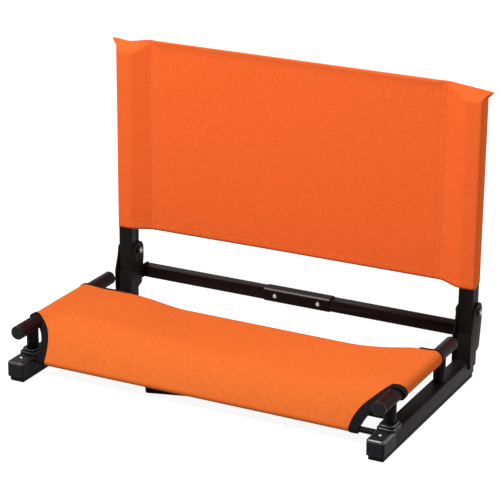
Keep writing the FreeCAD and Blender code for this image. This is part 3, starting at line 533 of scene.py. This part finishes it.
def cloth_grid(shape, across, ups, place):
    """Adds a sheet of quads to a shape; place(across, up) gives each point and its flat measure."""
    columns, rows = len(across) - 1, len(ups) - 1
    points = bmesh.ops.create_grid(shape, x_segments=columns, y_segments=rows, size=0.5)["verts"]
    flat = {}
    for point in points:
        column, row = round((point.co.x + 0.5) * columns), round((point.co.y + 0.5) * rows)
        point.co, flat[point] = place(across[column], ups[row])
    return flat


def sewn(shape, flat, name, material, thickness):
    """Turns sheets into one cloth piece with its flat measures as a UV map, and gives it its thickness."""
    bmesh.ops.remove_doubles(shape, verts=shape.verts, dist=fine_gap)
    measure = shape.loops.layers.uv.new("cut")
    for face in shape.faces:
        face.smooth = True
        for loop in face.loops:
            loop[measure].uv = flat[loop.vert]
    mesh = bpy.data.meshes.new(name)
    shape.to_mesh(mesh)
    shape.free()
    mesh.materials.append(material)
    piece = bpy.data.objects.new(name, mesh)
    bpy.context.collection.objects.link(piece)
    wall = piece.modifiers.new("cloth_thickness", "SOLIDIFY")
    wall.thickness = thickness
    wall.offset = 0.0
    return piece


def canvas_weave():
    """Group: plain weave with slubs, from a cut measure in metres."""
    group = bpy.data.node_groups.new("canvas_weave", "ShaderNodeTree")
    for name, kind in (("Vector", "NodeSocketVector"), ("Thread Pitch", "NodeSocketFloat")):
        group.interface.new_socket(name, in_out="INPUT", socket_type=kind)
    for name in ("Tone", "Height"):
        group.interface.new_socket(name, in_out="OUTPUT", socket_type="NodeSocketFloat")
    nodes, links = group.nodes, group.links
    inside, outside = nodes.new("NodeGroupInput"), nodes.new("NodeGroupOutput")

    def math_node(operation, first, second):
        step = nodes.new("ShaderNodeMath")
        step.operation = operation
        for socket, value in zip(step.inputs, (first, second)):
            if isinstance(value, float):
                socket.default_value = value
            elif value is not None:
                links.new(value, socket)
        return step.outputs["Value"]

    parts = nodes.new("ShaderNodeSeparateXYZ")
    links.new(inside.outputs["Vector"], parts.inputs["Vector"])
    turns = math_node("DIVIDE", math.pi, inside.outputs["Thread Pitch"])
    weft = math_node("SINE", math_node("MULTIPLY", parts.outputs["X"], turns), None)
    warp = math_node("SINE", math_node("MULTIPLY", parts.outputs["Y"], turns), None)
    crossing = math_node("MULTIPLY", weft, warp)
    links.new(math_node("MULTIPLY_ADD", crossing, 0.5), outside.inputs["Height"])
    unevenness = 0.7
    tone = 0.5
    for stretch in ((55.0, 520.0, 1.0), (520.0, 55.0, 1.0), (190.0, 190.0, 1.0)):
        turn = nodes.new("ShaderNodeMapping")
        turn.inputs["Scale"].default_value = stretch
        links.new(inside.outputs["Vector"], turn.inputs["Vector"])
        threads = nodes.new("ShaderNodeTexNoise")
        threads.inputs["Scale"].default_value = 1.0
        threads.inputs["Detail"].default_value = 2.0
        links.new(turn.outputs["Vector"], threads.inputs["Vector"])
        uneven = math_node("MULTIPLY", math_node("SUBTRACT", threads.outputs["Fac"], 0.5), unevenness)
        tone = math_node("ADD", uneven, tone)
    links.new(tone, outside.inputs["Tone"])
    return group


weave_group = canvas_weave()


def canvas(name, deep, pale, pitch):
    """Plain-woven cloth: its threads vary in shade and its surface is matt."""
    material = bpy.data.materials.new(name)
    material.use_nodes = True
    nodes, links = material.node_tree.nodes, material.node_tree.links
    surface = nodes["Principled BSDF"]
    cut = nodes.new("ShaderNodeUVMap")
    cut.uv_map = "cut"
    weave = nodes.new("ShaderNodeGroup")
    weave.node_tree = weave_group
    weave.inputs["Thread Pitch"].default_value = pitch
    links.new(cut.outputs["UV"], weave.inputs["Vector"])
    tone = nodes.new("ShaderNodeMix")
    tone.data_type = "RGBA"
    tone.inputs["A"].default_value = (*deep, 1)
    tone.inputs["B"].default_value = (*pale, 1)
    links.new(weave.outputs["Tone"], tone.inputs["Factor"])
    links.new(tone.outputs["Result"], surface.inputs["Base Color"])
    relief = nodes.new("ShaderNodeBump")
    relief.inputs["Strength"].default_value = 0.3
    relief.inputs["Distance"].default_value = 0.12 * mm
    links.new(weave.outputs["Height"], relief.inputs["Height"])
    links.new(relief.outputs["Normal"], surface.inputs["Normal"])
    surface.inputs["Roughness"].default_value = 0.85
    surface.inputs["Specular IOR Level"].default_value = 0.06
    return material


back_height = back_top - back_bottom


def place_back(across, up):
    """Point and flat measure of the back cloth, most of whose height lies below the crease."""
    below_crease = 0.94
    flat_up = back_height * (min(up, 1.0) * below_crease + max(up - 1, 0.0) * (1 - below_crease))
    return back_point(across, up), (across, flat_up)


thread_pitch = 0.8 * mm
half_columns = stations(0.0, (seam_half - 20 * mm, 60), (seam_half + 4 * mm, 26), (strip_half, 120))
back_columns = [-column for column in reversed(half_columns[1:])] + half_columns
back_canvas = canvas("back_canvas", (0.73, 0.102, 0.0172), (0.885, 0.150, 0.030), thread_pitch)
back_shape = bmesh.new()
back_flat = cloth_grid(back_shape, back_columns, stations(0.0, (1.0, 80), (2.0, 14)), place_back)
back_cloth = sewn(back_shape, back_flat, "back_cloth_sewn", back_canvas, canvas_thickness)
settle(back_cloth, "backrest", "orange_canvas", "back_cloth")

# Stitching: lockstitch rows of orange thread along the sleeves' seams and the back cloth's hems.
# Each stitch is a small rounded bead that lies half sunk in the canvas.
stitch_pitch, stitch_length, stitch_width = 5.0 * mm, 3.5 * mm, 1.5 * mm
thread_rise, thread_lift = 0.35 * mm, 0.1 * mm


def stitch_row(shape, line, length):
    """Small rounded stitches laid along line(distance), which gives a point and the surface's normal."""
    lead = 0.1
    for i in range(int(length / stitch_pitch)):
        start, normal = line((i + lead) * stitch_pitch)
        end, _ = line((i + lead) * stitch_pitch + stitch_length)
        forward = (end - start).normalized()
        beside = normal.cross(forward).normalized()
        axes = (forward * stitch_length / 2, beside * stitch_width / 2, normal * thread_rise)
        middle = (start + end) / 2 + normal * (canvas_thickness / 2 + thread_lift)
        place = Matrix.Translation(middle) @ Matrix(axes).transposed().to_4x4()
        bmesh.ops.create_icosphere(shape, subdivisions=1, radius=1.0, matrix=place)


def back_line(across, up):
    """Point and outward normal on the back cloth's front."""
    step = 1 * mm
    middle = back_point(across, up)
    beside = back_point(across + step, up) - middle
    above = back_point(across, up + step) - middle
    return middle, beside.cross(above).normalized()


rear_rows = (strip_half - 2.5 * mm, strip_half - 10.8 * mm)
hem_row = 9 * mm / back_height
hem_half = seam_half - 12 * mm
sleeve_hem_start, sleeve_hem_run = seam_half + 4 * mm, 62 * mm
sewn_share = 0.96
stitches = bmesh.new()
for sign in sides.values():
    for row in seam_rows + rear_rows:
        stitch_row(stitches, lambda run, at=sign * row: back_line(at, run / back_height),
                   back_height * sewn_share)
    stitch_row(stitches, lambda run, to=sign: back_line(to * (sleeve_hem_start + run), hem_row),
               sleeve_hem_run)
for up in (1 - hem_row, hem_row):
    stitch_row(stitches, lambda run, at=up: back_line(run - hem_half, at), 2 * hem_half)
thread = coated("orange_thread", (0.84, 0.20, 0.045), (0.93, 0.27, 0.07), 0.6, 0.1,
                pebble=2500.0, cloud=300.0)
thread_mesh = bpy.data.meshes.new("back_stitching")
stitches.to_mesh(thread_mesh)
stitches.free()
thread_mesh.shade_smooth()
thread_mesh.materials.append(thread)
back_stitching = bpy.data.objects.new("back_stitching", thread_mesh)
bpy.context.collection.objects.link(back_stitching)
settle(back_stitching, "backrest", "orange_canvas")

# Seat cloth: one piece of the same canvas, with a sleeve round each seat tube and a hem round the front rod.
# It hangs slack between the tubes, lower on the right, and is cut away round the front posts.
tube_height, sleeve_radius = 79.0 * mm, 12.3 * mm
crest = tube_height + sleeve_radius
rod_depth, rod_height, hem_radius = 33.0 * mm, 28.0 * mm, 5.9 * mm
fall_slope = math.radians(60)
hem_start, hem_tuck = math.radians(150), math.radians(235)
hem_depth = rod_depth - hem_radius * math.sin(fall_slope)
hem_top = rod_height + hem_radius * math.cos(fall_slope)
wrap_turn, tuck_run = math.radians(255), 14.5 * mm
wrap_run = sleeve_radius * wrap_turn
seat_reach = rail_half + wrap_run + tuck_run


def sling_height(x, depth):
    """Height of the sling where it hangs free of the front fall. Towards the rear it dips later and more
    steeply on the left."""
    change_start, change_run = 105 * mm, 110 * mm
    dip_start, start_change = 290 * mm, 65 * mm
    dip_run, run_change = 260 * mm, 155 * mm
    edge_dip, edge_run = 2.3 * mm, 35 * mm
    sag, sag_skew, skew_start = 11.2 * mm, 0.019, 240 * mm
    right_run, right_power = 150 * mm, 0.65
    rearward = ease((depth - change_start) / change_run)
    start, width = dip_start - start_change * rearward, dip_run - run_change * rearward
    deepest = sag + sag_skew * (x + skew_start)
    dip = edge_dip * ease((x + rail_half) / edge_run) + (deepest - edge_dip) * ease((x + start) / width)
    return crest - dip * ease((rail_half - x) / right_run) ** right_power


def fall_height(x, depth):
    """Height of the cloth, which falls from the sling to the hem over the chair's front edge."""
    side_run, bend_run, least_start = 33 * mm, 44 * mm, 66 * mm
    sling = sling_height(x, depth)
    front_sling = sling_height(x, 0.0)
    bend = hem_depth + (front_sling - hem_top) / math.tan(fall_slope)
    inward = min(max((rail_half - abs(x)) / side_run, 0.0), 1.0)
    start = bend + max(bend_run * inward, least_start - bend)
    if depth >= start:
        return sling
    square, linear = start - 2 * bend + hem_depth, bend - start
    root = math.sqrt(max(linear * linear - square * (start - depth), 0.0))
    share = min((start - depth) / (root - linear), 1.0) ** 2
    return sling * (1 - share) + hem_top * share


def seat_point(across, down):
    """A point of the seat cloth: distance across from the middle, and depth behind the hem's top edge.
    A negative depth goes on round the rod."""
    sign, distance = (1 if across >= 0 else -1), abs(across)
    if down < 0:
        turn = hem_start - down / hem_radius
        return Vector((across, rails_front + rod_depth + hem_radius * math.cos(turn),
                       rod_height + hem_radius * math.sin(turn)))
    depth = hem_depth + down
    if distance <= rail_half:
        x, z = across, fall_height(across, depth)
    else:
        turn = min((distance - rail_half) / sleeve_radius, wrap_turn)
        extra = max(distance - rail_half - wrap_run, 0.0)
        x = sign * (rail_half + sleeve_radius * math.sin(turn) + extra * math.cos(turn))
        z = tube_height + sleeve_radius * math.cos(turn) - extra * math.sin(turn)
    return Vector((x, rails_front + depth, z))


def seat_rear(across):
    """Depth of the rear edge behind the hem, skewed and cut forward under the sleeves."""
    rear_left, rear_right = 209 * mm, 227 * mm
    nip, nip_start, nip_run = 12.5 * mm, 258 * mm, 47 * mm
    under_cut, under_start, under_run, under_power = 22 * mm, math.radians(100), math.radians(110), 1.5
    share = min(max((across + rail_half) / (2 * rail_half), 0.0), 1.0)
    right_end = nip * ease((across - nip_start) / nip_run)
    under = max((abs(across) - rail_half) / sleeve_radius - under_start, 0.0) / under_run
    rear = rear_left + (rear_right - rear_left) * share - right_end
    return rear - under_cut * min(under, 1.0) ** under_power - hem_depth


# Each cut-out's end on the hem, its start at the tube, its depth there and how full its curve is.
corner_cuts = {-1: (271 * mm, 304 * mm, 65.5 * mm, 2.0), 1: (250 * mm, 296 * mm, 69.5 * mm, 1.45)}
sleeve_slant, slant_turns = 10 * mm, 1.5


def cut_edge(sign, share):
    """The corner cut-out's edge from the hem, at share 0, up to the tube, at share 1: across and down."""
    hem_end, tube_start, tube_depth, power = corner_cuts[sign]
    turn = share * math.pi / 2
    across = tube_start - (tube_start - hem_end) * math.cos(turn) ** (2 / power)
    return sign * across, (tube_depth - hem_depth) * math.sin(turn) ** (2 / power)


def cut_depth(across):
    """Depth behind the hem at which the cloth starts, for a place across it."""
    hem_end, tube_start, tube_depth, power = corner_cuts[1 if across >= 0 else -1]
    share = (tube_start - abs(across)) / (tube_start - hem_end)
    if share >= 1:
        return 0.0
    if abs(across) > rail_half:
        quarter_turns = (abs(across) - rail_half) / (sleeve_radius * math.pi / 2)
        return tube_depth - hem_depth + sleeve_slant * min(quarter_turns, slant_turns)
    return (tube_depth - hem_depth) * (1 - max(share, 0.0) ** power) ** (1 / power)


def place_seat(across, share_down):
    """Point and flat measure of the seat, whose rows lie closer together at the front."""
    crowding = 1.25
    front, rear = cut_depth(across), seat_rear(across)
    down = front + (rear - front) * share_down ** crowding
    return seat_point(across, down), (across, down)


def place_hem(across, share_round):
    """Point and flat measure of the hem, by its share of the way round the rod."""
    round_rod = -share_round * hem_radius * hem_tuck
    return seat_point(across, round_rod), (across, round_rod)


hem_left, hem_right = -corner_cuts[-1][0], corner_cuts[1][0]
hem_columns = stations(hem_left, (hem_right, 200))
seat_columns = (stations(-seat_reach, (-rail_half, 40), (hem_left, 20))[:-1] + hem_columns
                + stations(hem_right, (rail_half, 30), (seat_reach, 40))[1:])
# The seat's copy of the canvas is coloured darker than the back's: painted shade that offsets the stronger
# light falling on the seat from above.
seat_canvas_painted_shade = canvas("seat_canvas_painted_shade", (0.585, 0.106, 0.0155), (0.703, 0.153, 0.0282), thread_pitch)
seat_shape = bmesh.new()
seat_flat = cloth_grid(seat_shape, seat_columns, stations(0.0, (1.0, 90)), place_seat)
seat_flat.update(cloth_grid(seat_shape, hem_columns, stations(1.0, (0.0, 20)), place_hem))
seat_cloth = sewn(seat_shape, seat_flat, "seat_cloth_sewn", seat_canvas_painted_shade, canvas_thickness)
settle(seat_cloth, "base", "orange_canvas", "seat_cloth")

# Binding: black woven tape folded over the seat cloth's raw edges.
# It runs round each corner cut-out, wider on the right, and over the rear end of each sleeve.
tape = canvas("binding_tape", (0.0050, 0.0045, 0.0047), (0.0105, 0.0092, 0.0092), 1.1 * mm)
front_tape_width, rear_tape_width, tape_thickness = 11 * mm, 4.0 * mm, 1.2 * mm
leaves_rod, meets_tube = 0.16, 0.58


def seat_frame(across, down):
    """Point and outward normal of the seat cloth."""
    step = 0.5 * mm
    middle = seat_point(across, down)
    beside = seat_point(across + step, down) - seat_point(across - step, down)
    behind = seat_point(across, down + step) - seat_point(across, down - step)
    return middle, beside.cross(behind).normalized()


def tape_along(name, edge, turn, width, columns, flare=0.0):
    """A strip folded over a raw edge: edge(share) gives across and down, and turn says which side is open.
    Flare widens the strip, by a share of its width, before it meets the tube."""
    fold_power, step, tape_run = 0.6, 0.004, 0.2
    lift = canvas_thickness / 2 + tape_thickness / 2

    def spot(share):
        return seat_frame(*edge(min(max(share, 0.0), 1.0)))

    def place(share_along, over):
        middle, normal = spot(share_along)
        tangent = (spot(share_along + step)[0] - spot(share_along - step)[0]).normalized()
        outward = tangent.cross(normal) * turn
        reach = math.cos(over) ** fold_power
        height = math.copysign(abs(math.sin(over)) ** fold_power, over)
        wider = 1 + flare * math.sin(math.pi * min(share_along / meets_tube, 1.0))
        return (middle + outward * width * wider * reach + normal * lift * height,
                (share_along * tape_run, over / math.pi * 2 * width))

    strip = bmesh.new()
    rows = stations(-math.pi / 2, (math.pi / 2, 18))
    flat = cloth_grid(strip, stations(0.0, (1.0, columns)), rows, place)
    return sewn(strip, flat, name, tape, tape_thickness)


def corner_edge(sign):
    """The cut-out's edge: round the rod, up the cut-out, over the tube and under it."""
    rod_turn = math.radians(200)

    def edge(share):
        if share < leaves_rod:
            across, _ = cut_edge(sign, 0.0)
            return across, -(1 - share / leaves_rod) * hem_radius * rod_turn
        if share < meets_tube:
            return cut_edge(sign, (share - leaves_rod) / (meets_tube - leaves_rod))
        across, down = cut_edge(sign, 1.0)
        beyond = (share - meets_tube) / (1 - meets_tube) * (rail_half + wrap_run - abs(across))
        return across + sign * beyond, max(down, cut_depth(across + sign * beyond))

    return edge


def rear_edge(sign):
    """The rear end of a sleeve, from inside the tube over it and under it."""
    inside = {-1: 95 * mm, 1: 28 * mm}[sign]
    over_tube = sleeve_radius * math.radians(230)

    def edge(share):
        across = sign * (rail_half - inside + share * (inside + over_tube))
        return across, seat_rear(across)

    return edge


front_flare = {-1: 0.0, 1: 0.55}
for side, sign in sides.items():
    front_tape = tape_along(side + "_front_binding_tape", corner_edge(sign), sign, front_tape_width, 120,
                            front_flare[sign])
    settle(front_tape, "base", "black_binding", side + "_front_binding")
    rear_tape = tape_along(side + "_rear_binding_tape", rear_edge(sign), -sign, rear_tape_width, 80)
    settle(rear_tape, "base", "black_binding", side + "_rear_binding")

# Bench hook: a flat bar bent to a lip that swings on a bolt under the seat and grips the bench from below.
# Its strap is welded between the rails, and the lip's end is dipped in black vinyl.
vinyl = coated("vinyl_dip", (0.004, 0.004, 0.004), (0.007, 0.007, 0.007), 0.28, 0.12, pebble=500.0, bump=0.1)
# The hook's coat is darker than the frame's: painted shade under the seat.
hook_coat_painted_shade = coated("hook_coat_painted_shade", (0.0024, 0.0022, 0.0022), (0.0040, 0.0036, 0.0036), 0.42, 0.02, bump=0.08)
rounded_copy("hook_strap", black_coat, "black_frame", 0.5 * mm)
rounded_copy("bench_hook", hook_coat_painted_shade, "black_frame", 1.6 * mm)
rounded_copy("hook_vinyl_tip", vinyl, "vinyl_dip", 2.4 * mm)
for node in ("hook_bolt", "hook_washer", "hook_nut"):
    rounded_copy(node, zinc, "bright_steel", 0.3 * mm)

# Floor and light: a white floor under two soft lamps, the key high in front and a rim light at the right.
# Floor and surroundings look white when they are seen, and light the chair less than that.
floor_shape = bmesh.new()
bmesh.ops.create_grid(floor_shape, x_segments=1, y_segments=1, size=20.0)
floor_mesh = bpy.data.meshes.new("studio_floor")
floor_shape.to_mesh(floor_mesh)
floor_shape.free()
floor = bpy.data.objects.new("studio_floor", floor_mesh)
bpy.context.collection.objects.link(floor)


def seen_directly(nodes, links):
    """1 for rays from the camera and from gloss or glass, 0 for the light that falls on things."""
    path = nodes.new("ShaderNodeLightPath")
    either = path.outputs["Is Camera Ray"]
    for name in ("Is Glossy Ray", "Is Transmission Ray"):
        add = nodes.new("ShaderNodeMath")
        add.operation = "MAXIMUM"
        links.new(either, add.inputs[0])
        links.new(path.outputs[name], add.inputs[1])
        either = add.outputs["Value"]
    return either


lighting_grey, seen_grey, seen_glow = 0.36, 0.26, 0.92
floor_white = bpy.data.materials.new("floor_white")
floor_white.use_nodes = True
floor_nodes, floor_links = floor_white.node_tree.nodes, floor_white.node_tree.links
floor_nodes.remove(floor_nodes["Principled BSDF"])
paint = floor_nodes.new("ShaderNodeBsdfDiffuse")
paint.inputs["Color"].default_value = (lighting_grey, lighting_grey, lighting_grey, 1)
faint = floor_nodes.new("ShaderNodeBsdfDiffuse")
faint.inputs["Color"].default_value = (seen_grey, seen_grey, seen_grey, 1)
glow = floor_nodes.new("ShaderNodeEmission")
glow.inputs["Strength"].default_value = seen_glow
shown = floor_nodes.new("ShaderNodeAddShader")
floor_links.new(faint.outputs["BSDF"], shown.inputs[0])
floor_links.new(glow.outputs["Emission"], shown.inputs[1])
choose = floor_nodes.new("ShaderNodeMixShader")
floor_links.new(seen_directly(floor_nodes, floor_links), choose.inputs["Fac"])
floor_links.new(paint.outputs["BSDF"], choose.inputs[1])
floor_links.new(shown.outputs["Shader"], choose.inputs[2])
floor_links.new(choose.outputs["Shader"], floor_nodes["Material Output"].inputs["Surface"])
floor_mesh.materials.append(floor_white)

lighting_level, seen_level = 0.22, 1.0
world = bpy.data.worlds.new("studio")
bpy.context.scene.world = world
world.use_nodes = True
world_nodes, world_links = world.node_tree.nodes, world.node_tree.links
level = world_nodes.new("ShaderNodeMapRange")
level.inputs["To Min"].default_value = lighting_level
level.inputs["To Max"].default_value = seen_level
world_links.new(seen_directly(world_nodes, world_links), level.inputs["Value"])
world_links.new(level.outputs["Result"], world_nodes["Background"].inputs["Strength"])
world_nodes["Background"].inputs["Color"].default_value = (1, 1, 1, 1)

chair_middle = Vector((0.0, 0.05, 0.2))
for name, offset, width, power in (("key_lamp", Vector((-0.75, -1.87, 2.75)), 1.2, 145.0),
                                   ("rim_lamp", Vector((2.4, 1.2, 1.3)), 1.5, 32.0)):
    lamp = bpy.data.lights.new(name, "AREA")
    lamp.shape = "SQUARE"
    lamp.size = width
    lamp.energy = power
    holder = bpy.data.objects.new(name, lamp)
    holder.location = chair_middle + offset
    holder.rotation_euler = (-offset).to_track_quat("-Z", "Y").to_euler()
    bpy.context.collection.objects.link(holder)

# Camera: a long lens to the right of the chair's front, a little above it.
# Its place and its focal length, counted in pixels of the picture, put the chair where the photo has it.
azimuth, elevation, roll = math.radians(27.05), math.radians(19.75), math.radians(0.35)
aim, camera_distance = Vector((-0.1018, 0.2070, 0.1256)), 3.3281
focal_pixels, picture_pixels = 2002.8, 500
lens = bpy.data.cameras.new("photo_camera")
lens.sensor_fit = "HORIZONTAL"
lens.sensor_width = 36.0
lens.lens = lens.sensor_width * focal_pixels / picture_pixels
camera = bpy.data.objects.new("photo_camera", lens)
away = Vector((math.sin(azimuth) * math.cos(elevation), -math.cos(azimuth) * math.cos(elevation),
               math.sin(elevation)))
camera.matrix_world = (Matrix.Translation(aim + away * camera_distance) @ Matrix.Rotation(azimuth, 4, "Z")
                       @ Matrix.Rotation(math.pi / 2 - elevation, 4, "X") @ Matrix.Rotation(roll, 4, "Z"))
bpy.context.collection.objects.link(camera)
bpy.context.scene.camera = camera
bpy.context.scene.view_settings.view_transform = "Standard"
